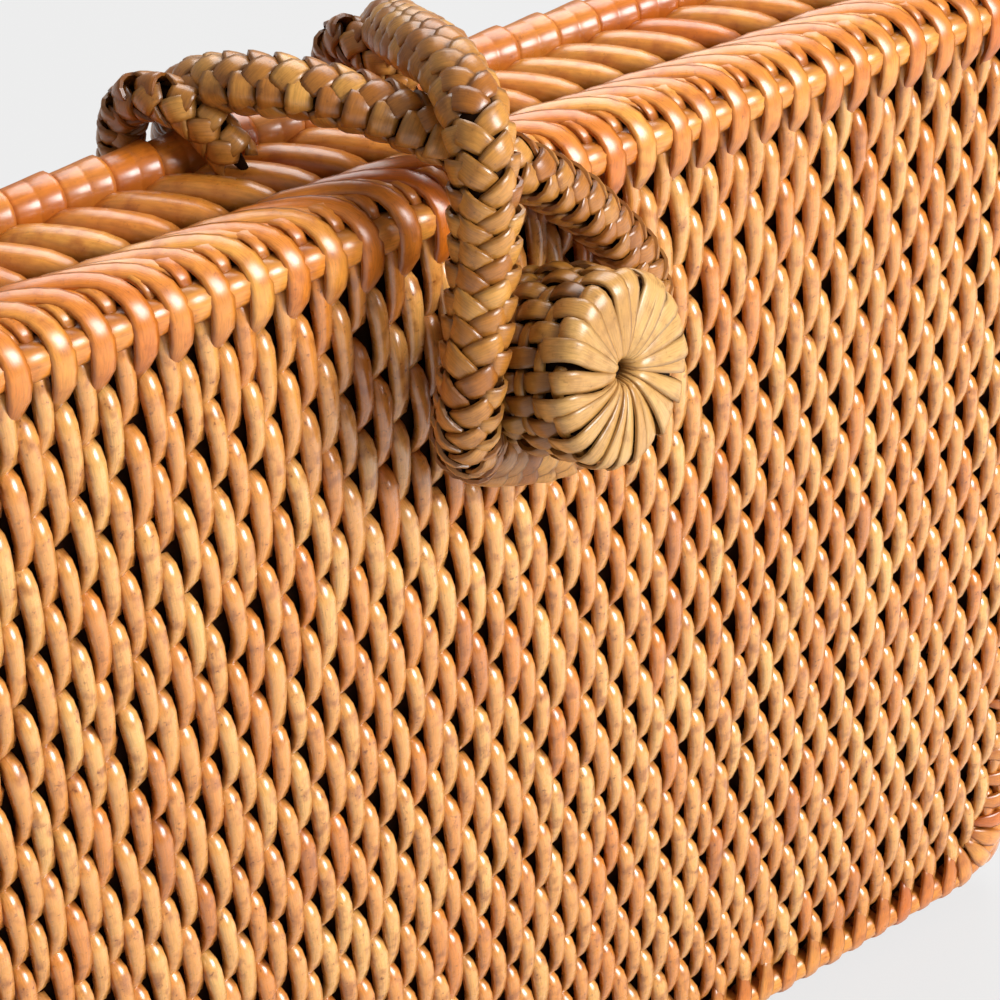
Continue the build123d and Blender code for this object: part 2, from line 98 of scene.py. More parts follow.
def make_strand_figure():
    """Node group: mottling, streaks and specks of a split cane or straw strip, and its darker ends and
    sides: partly its own tint, partly painted shade.
    """
    group = bpy.data.node_groups.new("strand_figure", "ShaderNodeTree")
    for name in ("Pale", "Warm", "Deep"):
        group.interface.new_socket(name=name, in_out="INPUT", socket_type="NodeSocketColor")
    for name in ("Specks", "Ends", "Gloss"):
        group.interface.new_socket(name=name, in_out="INPUT", socket_type="NodeSocketFloat")
    group.interface.new_socket(name="Color", in_out="OUTPUT", socket_type="NodeSocketColor")
    for name in ("Roughness", "Height"):
        group.interface.new_socket(name=name, in_out="OUTPUT", socket_type="NodeSocketFloat")
    add, link = group.nodes.new, group.links.new
    given, result = add("NodeGroupInput"), add("NodeGroupOutput")
    place = add("ShaderNodeTexCoord").outputs["Object"]

    def attribute(name):
        node = add("ShaderNodeAttribute")
        node.attribute_name = name
        return node.outputs["Fac"]

    def noise(scale, detail, source=place):
        node = add("ShaderNodeTexNoise")
        node.inputs["Scale"].default_value = scale
        node.inputs["Detail"].default_value = detail
        link(source, node.inputs["Vector"])
        return node.outputs["Fac"]

    def fade(source, low, high, to_low=0.0, to_high=1.0):
        node = add("ShaderNodeMapRange")
        for socket, value in zip(node.inputs[1:5], (low, high, to_low, to_high)):
            socket.default_value = value
        link(source, node.inputs["Value"])
        return node.outputs["Result"]

    def blend(factor, a, b):
        node = add("ShaderNodeMix")
        node.data_type = "RGBA"
        for number, value in zip(MIX_SOCKETS, (factor, a, b)):
            link(value, node.inputs[number])
        return node.outputs[MIX_RESULT]

    def maths(operation, a, b):
        node = add("ShaderNodeMath")
        node.operation = operation
        for socket, value in zip(node.inputs, (a, b)):
            link(value, socket)
        return node.outputs[0]

    uv = add("ShaderNodeUVMap")
    uv.uv_map = "strand"
    stretch = add("ShaderNodeMapping")
    stretch.inputs["Scale"].default_value = (9.0, 0.35, 1.0)
    link(uv.outputs["UV"], stretch.inputs["Vector"])
    streaks = noise(1.6, 3.0, stretch.outputs["Vector"])
    mottle = noise(520.0, 6.0)
    grit = noise(1900.0, 2.0)
    tone = attribute("tone")
    pale, warm, deep = [given.outputs[name] for name in ("Pale", "Warm", "Deep")]
    body = blend(fade(tone, 0.15, 1.0), warm, pale)
    body = blend(fade(mottle, 0.42, 0.72, 0.0, 0.55), body, warm)
    body = blend(fade(streaks, 0.35, 0.75, 0.0, 0.35), body, deep)
    specks = maths("MULTIPLY", fade(grit, 0.62, 0.74), fade(mottle, 0.35, 0.6))
    blotches = fade(mottle, 0.52, 0.7, 0.0, 0.6)
    for marks in (specks, blotches):
        body = blend(maths("MULTIPLY", marks, given.outputs["Specks"]), body, deep)
    body = blend(fade(tone, 0.1, 0.0, 0.0, 0.5), body, deep)
    # Darker towards a strand's two ends: painted shade where it dives under other strands, with some
    # darker tint at its tip.
    body = blend(maths("MULTIPLY", attribute("ends"), given.outputs["Ends"]), body, deep)
    # Darker along a strand's two sides: partly varnish pooled at its edges, partly painted shade between
    # neighbouring strands.
    body = blend(fade(attribute("edge"), 0.6, 1.0, 0.0, 0.45), body, deep)
    rough = maths("ADD", given.outputs["Gloss"], fade(mottle, 0.3, 0.7, -0.06, 0.12))
    height = maths("ADD", fade(streaks, 0.2, 0.8), fade(grit, 0.3, 0.8, 0.0, 0.35))
    link(body, result.inputs["Color"])
    link(rough, result.inputs["Roughness"])
    link(height, result.inputs["Height"])
    return group


STRAND_FIGURE = make_strand_figure()


def strip_material(name, pale, warm, deep, specks, ends, gloss, coat, grain):
    """Split cane or straw under a clear varnish."""
    material = bpy.data.materials.new(name)
    material.use_nodes = True
    nodes, link = material.node_tree.nodes, material.node_tree.links.new
    shader = nodes["Principled BSDF"]
    figure = nodes.new("ShaderNodeGroup")
    figure.node_tree = STRAND_FIGURE
    for socket, value in (("Pale", pale), ("Warm", warm), ("Deep", deep), ("Specks", specks),
                          ("Ends", ends), ("Gloss", gloss)):
        figure.inputs[socket].default_value = value
    bump = nodes.new("ShaderNodeBump")
    bump.inputs["Distance"].default_value = 0.0001
    bump.inputs["Strength"].default_value = grain
    link(figure.outputs["Color"], shader.inputs["Base Color"])
    link(figure.outputs["Roughness"], shader.inputs["Roughness"])
    link(figure.outputs["Height"], bump.inputs["Height"])
    link(bump.outputs["Normal"], shader.inputs["Normal"])
    shader.inputs["Coat Weight"].default_value = coat
    shader.inputs["Coat Roughness"].default_value = 0.26
    shader.inputs["Coat IOR"].default_value = 1.7
    shader.inputs["Specular IOR Level"].default_value = 0.45 if coat else 0.05
    return material


STRIP_CROWN = 0.5  # how round a flat strip's outer face is; a smaller power is flatter
OUTER_FACE = 0.1  # faces higher than this on a flat blank are its smooth outer face


def cane_blank(stations, sides, hollow_back=0.35, flat=False, crown=0.75):
    """A straight length of split cane, or of flat strip with crisp edges, to lay along a line."""
    bpy.ops.object.select_all(action="DESELECT")
    bpy.ops.mesh.primitive_cylinder_add(vertices=sides, radius=1.0, depth=1.0, location=(0, 0, 0.5))
    blank = bpy.context.object
    bpy.ops.object.transform_apply(location=True)
    bpy.ops.object.mode_set(mode="EDIT")
    for cut in range(1, stations - 1):
        bpy.ops.mesh.select_all(action="SELECT")
        bpy.ops.mesh.bisect(plane_co=(0, 0, cut / (stations - 1)), plane_no=(0, 0, 1))
    bpy.ops.object.mode_set(mode="OBJECT")
    co = np.array([v.co for v in blank.data.vertices])
    faces = [tuple(p.vertices) for p in blank.data.polygons]
    bpy.data.objects.remove(blank)
    smooth = [not flat or min(co[i][1] for i in face) > OUTER_FACE for face in faces]
    co[:, 0] /= np.abs(co[:, 0]).max()
    co[:, 1] = np.sign(co[:, 1]) * np.abs(co[:, 1]) ** (STRIP_CROWN if flat else crown)
    co[:, 1] = np.where(co[:, 1] < 0, co[:, 1] * hollow_back, co[:, 1])
    level = np.rint(co[:, 2] * (stations - 1)).astype(int)
    return {"level": level, "across": co[:, 0], "proud": co[:, 1], "faces": faces,
            "smooth": smooth}


def rounded(sections, count):
    """A strand's table of sections, resampled to more of them on a smooth curve."""
    rows = np.asarray(sections, float)
    t = np.linspace(0, len(rows) - 1, count)
    i = np.clip(t.astype(int), 0, len(rows) - 2)
    u = (t - i)[:, None]
    rows = np.concatenate([[2 * rows[0] - rows[1]], rows, [2 * rows[-1] - rows[-2]]])
    a, b, c, d = rows[i], rows[i + 1], rows[i + 2], rows[i + 3]
    square = (2 * a - 5 * b + 4 * c - d) * u**2
    cube = (3 * (b - c) + d - a) * u**3
    return 0.5 * (2 * b + (c - a) * u + square + cube)


UV_SHIFT = (7.3, 31.0)  # a strand's tone moves its streaks this far, so that no two are alike
# The darker ends are painted shade where a strand dives under others, with some darker tint at its tip.
START_SHADE, END_SHADE = 0.14, 0.2  # shares of a strand's length that are darker at its ends


def lay(blank, lines, outs, widths, heights, tones):
    """Copies of a blank, each laid along its own line with its crown turned outward."""
    lines = np.asarray(lines, float)
    n, k = lines.shape[:2]
    outs = np.broadcast_to(np.asarray(outs, float), lines.shape)
    widths = np.broadcast_to(np.asarray(widths, float), (n, k))
    heights = np.broadcast_to(np.asarray(heights, float), (n, k))
    along = np.gradient(lines, axis=1)
    along /= np.linalg.norm(along, axis=2, keepdims=True)
    side = np.cross(outs, along)
    side /= np.linalg.norm(side, axis=2, keepdims=True)
    crown = np.cross(along, side)
    level = blank["level"]
    across = (blank["across"] * widths[:, level] / 2)[..., None]
    proud = (blank["proud"] * heights[:, level])[..., None]
    verts = lines[:, level] + side[:, level] * across + crown[:, level] * proud
    tones = np.broadcast_to(np.asarray(tones, float), (n,))[:, None]
    length = np.linalg.norm(np.diff(lines, axis=1), axis=2).sum(axis=1)
    share = level / (k - 1)
    uv = np.stack([blank["across"] * 0.5 + 0.5 + UV_SHIFT[0] * tones,
                   share[None] * length[:, None] + UV_SHIFT[1] * tones], axis=2)
    # Painted shade towards both ends, with some darker tint at the tip
    ends = np.maximum(1 - share / START_SHADE, (share - (1 - END_SHADE)) / END_SHADE)
    return {"blank": blank, "verts": verts, "uv": uv, "tone": np.repeat(tones, len(level), 1),
            "ends": np.broadcast_to(np.clip(ends, 0, 1), (n, len(level))),
            "edge": np.broadcast_to(np.abs(blank["across"]), (n, len(level)))}


def piece(name, batches, material, body, replaced=()):
    """One piece from batches of laid strands."""
    index, sizes, smooth = [], [], []
    base = 0
    for batch in batches:
        copies, points = batch["verts"].shape[:2]
        faces = batch["blank"]["faces"]
        index.append((np.concatenate(faces)[None] + (base + points * np.arange(copies))[:, None]).ravel())
        sizes.append(np.tile([len(face) for face in faces], copies))
        smooth.append(np.tile(batch["blank"]["smooth"], copies))
        base += copies * points
    verts = np.concatenate([batch["verts"].reshape(-1, 3) for batch in batches]) * MM
    uv = np.concatenate([batch["uv"].reshape(-1, 2) for batch in batches])
    index, sizes = np.concatenate(index), np.concatenate(sizes)
    mesh = bpy.data.meshes.new(name)
    mesh.vertices.add(len(verts))
    mesh.vertices.foreach_set("co", verts.astype(np.float32).ravel())
    mesh.loops.add(len(index))
    mesh.loops.foreach_set("vertex_index", index.astype(np.int32))
    mesh.polygons.add(len(sizes))
    mesh.polygons.foreach_set("loop_start", (np.cumsum(sizes) - sizes).astype(np.int32))
    mesh.update(calc_edges=True)
    mesh.materials.append(material)
    mesh.polygons.foreach_set("use_smooth", np.concatenate(smooth))
    for label in ("tone", "ends", "edge"):
        values = np.concatenate([batch[label].ravel() for batch in batches])
        layer = mesh.attributes.new(label, "FLOAT", "POINT")
        layer.data.foreach_set("value", values.astype(np.float32))
    layer = mesh.uv_layers.new(name="strand")
    layer.data.foreach_set("uv", uv[index].astype(np.float32).ravel())
    mesh.validate()
    made = bpy.data.objects.new(name, mesh)
    bpy.context.scene.collection.objects.link(made)
    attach(made, body)
    if replaced:
        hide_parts(*replaced)
    return made


def nurbs_line(name, route, radius):
    """A smooth open spline through the route's points, with a round core of that radius."""
    curve = bpy.data.curves.new(name, "CURVE")
    curve.dimensions = "3D"
    spline = curve.splines.new("NURBS")
    spline.points.add(len(route) - 1)
    for point, place in zip(spline.points, route):
        point.co = (*(MM * c for c in place), 1.0)
    spline.order_u = 3
    spline.use_endpoint_u = True
    curve.resolution_u = 10
    made = bpy.data.objects.new(name, curve)
    bpy.context.scene.collection.objects.link(made)
    bpy.context.view_layer.update()
    traced = bpy.data.meshes.new_from_object(made)
    line = np.array([v.co for v in traced.vertices]) / MM
    bpy.data.meshes.remove(traced)
    curve.bevel_depth = radius * MM
    curve.bevel_resolution = 3
    curve.use_fill_caps = True
    return made, line


def evenly(line, step):
    """The line's points, respaced to a step, with its running length."""
    run = np.concatenate([[0], np.cumsum(np.linalg.norm(np.diff(line, axis=0), axis=1))])
    s = np.linspace(0, run[-1], int(run[-1] / step))
    return np.stack([np.interp(s, run, line[:, i]) for i in range(3)], axis=1), s


VIEW_SIDE = np.array(CAMERA_DIRECTION)  # the side of the cord that angle 0 faces
FINE_STEP = 0.2
CELL = 2.85  # length of one plait cell along the cord
END_GAP = 1.2  # from the cord's ends to the middle of its first and last strips
# Columns of the plait: angle round the cord, and the way a leaf points, or 0 for a band
PLAIT = ((-90, 0), (-25, 1), (25, -1), (90, 0), (155, 1), (205, -1))
FLATNESS = 0.72  # the cord's thickness as a share of its width
STRIP_STATIONS = 7
STRIP_SHARE = np.linspace(-1, 1, STRIP_STATIONS)  # from a strip's one end to the other
# Leaf and band from end to end: lift above the cord's surface, and width
LEAF = rounded([(-0.6, 2.0), (-0.05, 2.5), (0.3, 2.7), (0.1, 2.5), (-0.95, 1.8)], STRIP_STATIONS)
BAND = rounded([(-0.55, 2.75), (-0.2, 2.85), (-0.1, 2.85), (-0.2, 2.85), (-0.55, 2.75)],
               STRIP_STATIONS)
LEAF_REACH, BAND_REACH = 38, 58  # degrees round the cord from a strip's middle to its end
LEAF_LEAN = 1.3  # how far a leaf's ends lie before and behind its middle
STRIP_SUNK = 0.5  # how far the strips' own lift starts below the cord's surface
STRIP_THICKNESS = 0.42
SHINGLE = 0.28  # how much a strip leans over the next one
STRIP_BLANK = cane_blank(STRIP_STATIONS, 10, 0.6, flat=True)


def plait(line, radius, turn, flip):
    """Flat strips plaited round a line: bands at its two edges, pairs of leaves on its faces."""
    fine, s = evenly(line, FINE_STEP)
    along = np.gradient(fine, axis=0)
    along /= np.linalg.norm(along, axis=1, keepdims=True)
    near = VIEW_SIDE - along * (along @ VIEW_SIDE)[:, None]
    near /= np.linalg.norm(near, axis=1, keepdims=True)
    across = np.cross(along, near)
    count = int(s[-1] / CELL)
    batches = []
    for degrees, points in PLAIT:
        half_step = 0.5 if points < 0 else 0.0
        mid = np.clip((np.arange(count) + half_step) * CELL, END_GAP, s[-1] - END_GAP)
        jitter = scatter(count, 4, np.random.default_rng(abs(degrees)))
        lean = LEAF_LEAN * flip(mid)[:, None] if points else 0.0
        place = mid[:, None] - lean * STRIP_SHARE[None] + 0.1 * jitter[:, 0:1]
        reach = LEAF_REACH * points if points else BAND_REACH
        angle = math.radians(degrees) + math.radians(reach) * STRIP_SHARE[None] + 0.05 * jitter[:, 3:4]
        lift, width = (LEAF if points else BAND).T
        distance = radius - STRIP_SUNK + lift[None] + 0.08 * jitter[:, 1:2]
        centre, a, b, c = [np.stack([np.interp(place, s, v[:, i]) for i in range(3)], axis=2)
                           for v in (fine, along, near, across)]
        cos, sin = [f(turn(place))[..., None] for f in (np.cos, np.sin)]
        face, side = b * cos + c * sin, c * cos - b * sin
        cos, sin = np.cos(angle)[..., None], np.sin(angle)[..., None]
        offset = face * cos * FLATNESS + side * sin
        out = face * cos / FLATNESS + side * sin
        out = out / np.linalg.norm(out, axis=2, keepdims=True)
        out = out - SHINGLE * a * flip(mid)[:, None, None]
        batches.append(lay(STRIP_BLANK, centre + offset * distance[..., None], out, width,
                           STRIP_THICKNESS, shades(0.5, 0.25, jitter[:, 2], 0.12)))
    return batches


cord_straw = strip_material("cord_straw", colour(232, 168, 80), colour(180, 108, 34),
                            colour(70, 32, 4), specks=0.4, ends=0.85, gloss=0.34, coat=0.4, grain=0.2)
# Cores and coil sheets under the strips are coloured near black: painted shade for the gaps between strips
# where they show.
core_shade = strip_material("core_shade", colour(70, 38, 14), colour(48, 24, 8), colour(20, 9, 3),
                            specks=0.5, ends=0.2, gloss=0.6, coat=0.0, grain=0.1)
loop_core, loop_line = nurbs_line("closure_cord", LOOP_ROUTE, LOOP_CORE_RADIUS)
# The loop's core shows only in the gaps of its plait; its near-black colour is painted shade.
loop_core.data.materials.append(core_shade)


def loop_turn(s):
    """How far the plait is twisted along the loop."""
    return np.interp(s, TWIST_PLACES, np.radians(TWIST_ANGLES))


def loop_flip(s):
    """Which way the leaves point along the loop."""
    return np.where(s < FLIP_PLACE, -1.0, 1.0)


loop_cells = piece("closure_plait", plait(loop_line, CORD_D / 2 + 0.3, loop_turn, loop_flip), cord_straw,
                   "loop")
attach(loop_core, "loop")
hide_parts("closure_loop")

# Front wall: thin varnished cane stitches, each over two coil rows, bound so close that the
# coils show only as gaps, coloured near black as painted shade. Neighbouring columns are a row apart in
# height.
ROW = 5.5
STITCH = 4.55  # from a column of stitches to the next but one
HEIGHT = 148.5
WIDTH = 210.0
CORNER = 14.0
FRONT = -4.8  # the large walls' outer faces, without their belly, and the seam between the trays
SEAM = 4.0
BACK = 20.2
BULGE = 1.5
WALL = 3.8
FIRST_TOP = (-10.9, 128.5)  # x and z of one stitch's visible top, from which the others are counted
FIRST_ROW = 4  # the row that stitch is in
COLUMN_LEAN = 0.15  # sideways shift from a row to the next
CREST_INSET = 0.75  # from a wall's outer face to its stitches' line
COIL_INSET = 1.9  # and to its coils
COIL_THICKNESS = 1.0
COIL_RIPPLE = 0.25
FRONT_MARGINS = (5.0, 7.0, 1.6)  # free of stitches below, above and beside them
DARK_SHARE, DARK_TONE = 0.025, 0.05  # a few of the front stitches are stained dark
# How much stitches differ: stretch, tilt, and shifts down, sideways and outward
STITCH_SPREAD = (0.05, 0.03, 0.25, 0.12, 0.1)


def belly(z):
    """Outward bulge of a large wall at height z."""
    return BULGE * (1 - (2 * z / HEIGHT - 1) ** 2)


def half_width(z, inset=0.0, low=0.0, high=HEIGHT, corner=CORNER):
    """Half the wall's width at height z, its corners rounded."""
    d = np.maximum(np.maximum(corner - (z - low), corner - (high - z)), 0)
    return WIDTH / 2 - inset - corner + np.sqrt(np.maximum(corner**2 - np.minimum(d, corner) ** 2, 0))


cane_honey = strip_material("honey_cane", colour(251, 190, 104), colour(234, 144, 56),
                            colour(124, 54, 10), specks=0.85, ends=0.85, gloss=0.28, coat=1.0, grain=0.16)
cane_glossy = strip_material("border_cane", colour(246, 170, 74), colour(224, 120, 28),
                             colour(110, 42, 4), specks=0.4, ends=0.6, gloss=0.32, coat=0.5, grain=0.1)
STITCH_BLANK = cane_blank(10, 7, crown=0.5)
SHOULDER_BLANK = cane_blank(4, 6)
# Stitch, and the one under it, from the top: down, sideways, out of the wall, width
STITCH_LINE = rounded([
    (0.9, -0.15, -2.1, 1.6), (0.35, -0.1, -1.0, 2.05), (-0.5, 0.0, -0.25, 2.35),
    (-1.8, 0.05, 0.22, 2.35), (-3.8, 0.15, 0.35, 2.1), (-6.2, 0.35, 0.1, 1.95),
    (-8.2, 0.3, -0.35, 1.8), (-10.0, -0.25, -1.05, 1.3), (-11.5, -0.9, -2.1, 0.5),
], 10)
SHOULDER_LINE = np.array([
    (-6.0, 1.0, -1.3, 0.9), (-7.6, 1.45, -0.75, 1.4), (-9.1, 1.2, -0.95, 1.4), (-10.5, 0.3, -1.9, 0.8),
])


def stitch_places(inset, low, high, corner, x_shift=0.0, margins=FRONT_MARGINS):
    """Tops of all the stitches that fit a wall, as x and z."""
    found = []
    below, above, beside = margins
    for row in range(-3, 30):
        z = FIRST_TOP[1] + ROW * (FIRST_ROW - row)
        for k in range(-30, 30):
            column = STITCH * (k + 0.5 * (row % 2))
            x = FIRST_TOP[0] + x_shift + column + COLUMN_LEAN * (row - FIRST_ROW)
            mid = z - ROW
            inside = low + below < mid < high - above
            if inside and abs(x) < half_width(mid, inset, low, high, corner) - beside:
                found.append((x, z))
    return np.array(found)


def wall_of_stitches(places, wall_y, sign, tones, rows=STITCH_LINE, blank=STITCH_BLANK, seed=1):
    """Stitches at those places; wall_y gives their line's depth at a height."""
    jitter = scatter(len(places), 5, np.random.default_rng(seed))
    stretch, tilt, lower, aside, outer = (jitter * STITCH_SPREAD).T[:, :, None]
    down, across, out, width = rows.T
    z = places[:, 1:2] + down[None] * (1 + stretch) + lower
    x = places[:, 0:1] + across[None] + tilt * down[None] + aside
    y = wall_y(z) + sign * (out[None] + outer)
    width = width[None] * (1 + 0.06 * jitter[:, 0:1])
    height = np.interp(np.arange(len(rows)), (0, 2, len(rows) - 3, len(rows) - 1), (0.5, 1.0, 1.0, 0.5))
    return lay(blank, np.stack([x, y, z], axis=2), (0, sign, 0), width, height, tones)


def front_crest(z):
    """Depth of the front stitches' line at height z."""
    return FRONT - belly(z) + CREST_INSET


front_places = stitch_places(0.0, 0.0, HEIGHT, CORNER)
front_tones = shades(0.6, 0.24, random.standard_normal(len(front_places)), 0.12)
front_tones[random.random(len(front_places)) < DARK_SHARE] = DARK_TONE
front_stitches = wall_of_stitches(front_places, front_crest, -1, front_tones)
# Under-stitches take the stitches' tones made darker: painted shade where they curve back under the
# stitches beside them.
shaded_shoulders = wall_of_stitches(front_places, front_crest, -1, front_tones * 0.55 + 0.05,
                             SHOULDER_LINE, SHOULDER_BLANK)
piece("front_stitches", [front_stitches], cane_honey, "front_half", ["front_shell"])
piece("front_under_stitches", [shaded_shoulders], cane_honey, "front_half")


def ladder(name, crest, sign, inset, low, high, corner, body):
    """A wall's coils: a bellied sheet with rounded corners, given its thickness, and coloured near black
    as painted shade in the gaps between stitches.
    """
    bpy.ops.object.select_all(action="DESELECT")
    bpy.ops.mesh.primitive_grid_add(x_subdivisions=1, y_subdivisions=2 * round(HEIGHT / ROW), size=1.0)
    sheet = bpy.context.object
    sheet.name = name
    for vertex in sheet.data.vertices:
        level = vertex.co.y + 0.5
        z = low + (high - low) * level
        ripple = COIL_RIPPLE * math.cos(2 * math.pi * (z - FIRST_TOP[1]) / ROW)
        half = float(half_width(z, inset, low, high, corner))
        x = half if vertex.co.x > 0 else -half
        vertex.co = (x * MM, (crest(z) + sign * ripple) * MM, z * MM)
    solid = sheet.modifiers.new("thickness", "SOLIDIFY")
    solid.thickness = COIL_THICKNESS * MM
    solid.offset = sign
    bpy.ops.object.modifier_apply(modifier="thickness")
    bpy.ops.object.mode_set(mode="EDIT")
    bpy.ops.mesh.select_all(action="SELECT")
    bpy.ops.mesh.normals_make_consistent(inside=False)
    bpy.ops.object.mode_set(mode="OBJECT")
    sheet.data.materials.append(core_shade)
    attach(sheet, body)


ladder("front_coils", lambda z: FRONT - belly(z) + COIL_INSET, -1, 1.4, 0.9, 147.9, 13.0, "front_half")

# Border of the front tray: a thick coil along the wall's edge, thin strips laid slantwise
# over the narrow wall, each bent over the coil to end as a flat tail on the front.
STRIP_COUNT = 150
ARC_STEPS = 12  # a rounded corner's straight runs
HOOP_STEPS = 220


class Edge:
    """Running length round a rounded outline, clockwise from the front, from the top middle."""

    def __init__(self, inset, top, radius):
        half = WIDTH / 2 - inset
        corners = ((half, top, 90), (half, inset, 0), (-half, inset, -90), (-half, top, -180))
        points, normals = [(0.0, top)], [(0.0, 1.0)]
        for cx, cz, start in corners:
            sx, sz = math.copysign(1, cx), (1 if cz == top else -1)
            for step in range(ARC_STEPS + 1):
                a = math.radians(start - 90 * step / ARC_STEPS)
                points.append((cx - sx * radius + radius * math.cos(a),
                               cz - sz * radius + radius * math.sin(a)))
                normals.append((math.cos(a), math.sin(a)))
        points.append((0.0, top))
        normals.append((0.0, 1.0))
        self.points, self.normals = np.array(points), np.array(normals)
        run = np.linalg.norm(np.diff(self.points, axis=0), axis=1)
        self.run = np.concatenate([[0], np.cumsum(run)])
        self.length = self.run[-1]

    def at(self, s):
        """The outline's point (x, z) and its outward direction (x, z) at running length s."""
        s = np.mod(s, self.length)
        place = [np.interp(s, self.run, self.points[:, i]) for i in (0, 1)]
        out = [np.interp(s, self.run, self.normals[:, i]) for i in (0, 1)]
        size = np.hypot(*out)
        return place[0], place[1], out[0] / size, out[1] / size

    def point(self, s, lift, y):
        """Points at running length s, that far outside the outline and at depth y."""
        x, z, ox, oz = self.at(s)
        return np.stack(np.broadcast_arrays(x + ox * lift, y, z + oz * lift), axis=-1)

    def out(self, s, forward=0.0):
        """Outward directions, leaning to the front by a share."""
        _, _, ox, oz = self.at(s)
        keep = np.sqrt(1 - np.minimum(forward, 1.0) ** 2)
        return np.stack(np.broadcast_arrays(ox * keep, -forward, oz * keep), axis=-1)


front_edge = Edge(3.1, 148.3, 11.5)
starts = (np.arange(STRIP_COUNT) * (front_edge.length / STRIP_COUNT))[:, None]
jitter = scatter(STRIP_COUNT, 4)
# Strip from the seam to its tail: along the edge, lift, depth, width, height, lean to the front
BENT_LINE = rounded([
    (-12.4, 0.3, 3.3, 1.3, 0.35, 0.0), (-9.4, 1.5, 2.3, 1.7, 0.4, 0.15), (-6.2, 1.95, 1.0, 1.9, 0.4, 0.3),
    (-3.0, 2.1, -0.5, 2.0, 0.4, 0.35), (-0.6, 1.85, -2.2, 2.1, 0.4, 0.4), (0.7, 0.9, -4.1, 2.3, 0.45, 0.6),
    (1.3, -1.0, -5.6, 2.6, 0.5, 0.95), (1.4, -3.4, -6.0, 2.7, 0.5, 1.0), (1.2, -5.7, -5.7, 2.2, 0.5, 1.0),
    (0.7, -8.2, -4.4, 0.6, 0.4, 1.0),
], 15)
BENT_BLANK = cane_blank(15, 10, 0.6, flat=True)
along, lift, depth, width, height, lean = BENT_LINE.T
s = starts + along + 0.25 * jitter[:, 0:1]
strips = lay(BENT_BLANK, front_edge.point(s, lift + 0.12 * jitter[:, 1:2], depth),
             front_edge.out(s, lean), width, height, shades(0.55, 0.22, jitter[:, 2], 0.05))
# Coil segments that show between the tails: along the edge, and width
SEGMENT_LINE = np.array([(-1.7, 3.2), (-1.2, 4.0), (0.0, 4.2), (1.2, 4.0), (1.7, 3.2)])
SEGMENT_BLANK = cane_blank(5, 12, 1.0)
along, width = SEGMENT_LINE.T
s = starts + 3.3 + along * 1.3
segments = lay(SEGMENT_BLANK, front_edge.point(s, -2.1, -4.1), (0, -1, 0), width, width / 2,
               shades(0.75, 0.15, jitter[:, 3]))
# Small folded ends beside each arch: along the edge, lift, depth, width
NUB_LINE = rounded([
    (-3.0, 0.6, 1.4, 1.2), (-1.5, 1.6, 0.0, 1.8), (-0.1, 2.0, -1.5, 2.1), (0.7, 1.4, -3.0, 2.0),
    (0.9, 0.0, -4.0, 1.4),
], 8)
NUB_BLANK = cane_blank(8, 10, 0.6, flat=True)
along, lift, depth, width = NUB_LINE.T
s = starts + 2.4 + along + 0.3 * jitter[:, 1:2]
nubs = lay(NUB_BLANK, front_edge.point(s, lift - 0.25, depth), front_edge.out(s, 0.3), width, 0.45,
           shades(0.6, 0.2, jitter[:, 0]))
# Thinner strips beside the bent ones, their ends tucked under the coil: the same columns
THIN_LINE = rounded([
    (-10.6, 0.2, 3.3, 1.0), (-7.6, 1.35, 2.1, 1.4), (-4.4, 1.7, 0.7, 1.5), (-1.4, 1.75, -0.9, 1.5),
    (0.6, 1.2, -2.5, 1.4), (1.6, -0.2, -3.7, 1.1),
], 10)
THIN_BLANK = cane_blank(10, 10, 0.6, flat=True)
along, lift, depth, width = THIN_LINE.T
s = starts + 1.4 + along + 0.35 * jitter[:, 2:3]
thin = lay(THIN_BLANK, front_edge.point(s, lift + 0.12 * jitter[:, 3:4], depth), front_edge.out(s, 0.3),
           width, 0.35, shades(0.65, 0.2, jitter[:, 3]))
piece("front_border", [strips, segments, nubs, thin], cane_glossy, "front_half")


def hoop(name, edge, section, body):
    """A closed band of core round an edge; its section is a list of lift and depth."""
    s = np.linspace(0, edge.length, HOOP_STEPS, endpoint=False)
    rings = np.stack([edge.point(s, lift, y) for lift, y in section], axis=1) * MM
    k = len(section)
    faces = []
    for i in range(HOOP_STEPS):
        this, after = i * k, (i + 1) % HOOP_STEPS * k
        for j in range(k):
            faces.append((this + j, this + (j + 1) % k, after + (j + 1) % k, after + j))
    mesh = bpy.data.meshes.new(name)
    mesh.from_pydata([tuple(v) for v in rings.reshape(-1, 3)], [], faces)
    mesh.update()
    made = bpy.data.objects.new(name, mesh)
    bpy.context.scene.collection.objects.link(made)
    bpy.ops.object.select_all(action="DESELECT")
    bpy.context.view_layer.objects.active = made
    made.select_set(True)
    bpy.ops.object.mode_set(mode="EDIT")
    bpy.ops.mesh.select_all(action="SELECT")
    bpy.ops.mesh.normals_make_consistent(inside=False)
    bpy.ops.object.mode_set(mode="OBJECT")
    # The band is coloured near black: painted shade in the gaps between the strips over it.
    mesh.materials.append(core_shade)
    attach(made, body)


SEAM_GAP = 0.25  # between a tray's core and the seam
hoop("front_narrow_wall", front_edge,
     [(0.6, SEAM - SEAM_GAP), (0.6, -3.2), (-3.0, -3.2), (-3.0, SEAM - SEAM_GAP)], "front_half")

# Back tray: thick round strands laid slantwise over its narrow wall, from the edge rope to
# the seam. Its large wall has the same stitching, inside a thin coil along the rope.
STRAND_COUNT = 115
back_edge = Edge(4.2, 146.0, 10.0)
strand_starts = (np.arange(STRAND_COUNT) * (back_edge.length / STRAND_COUNT))[:, None]
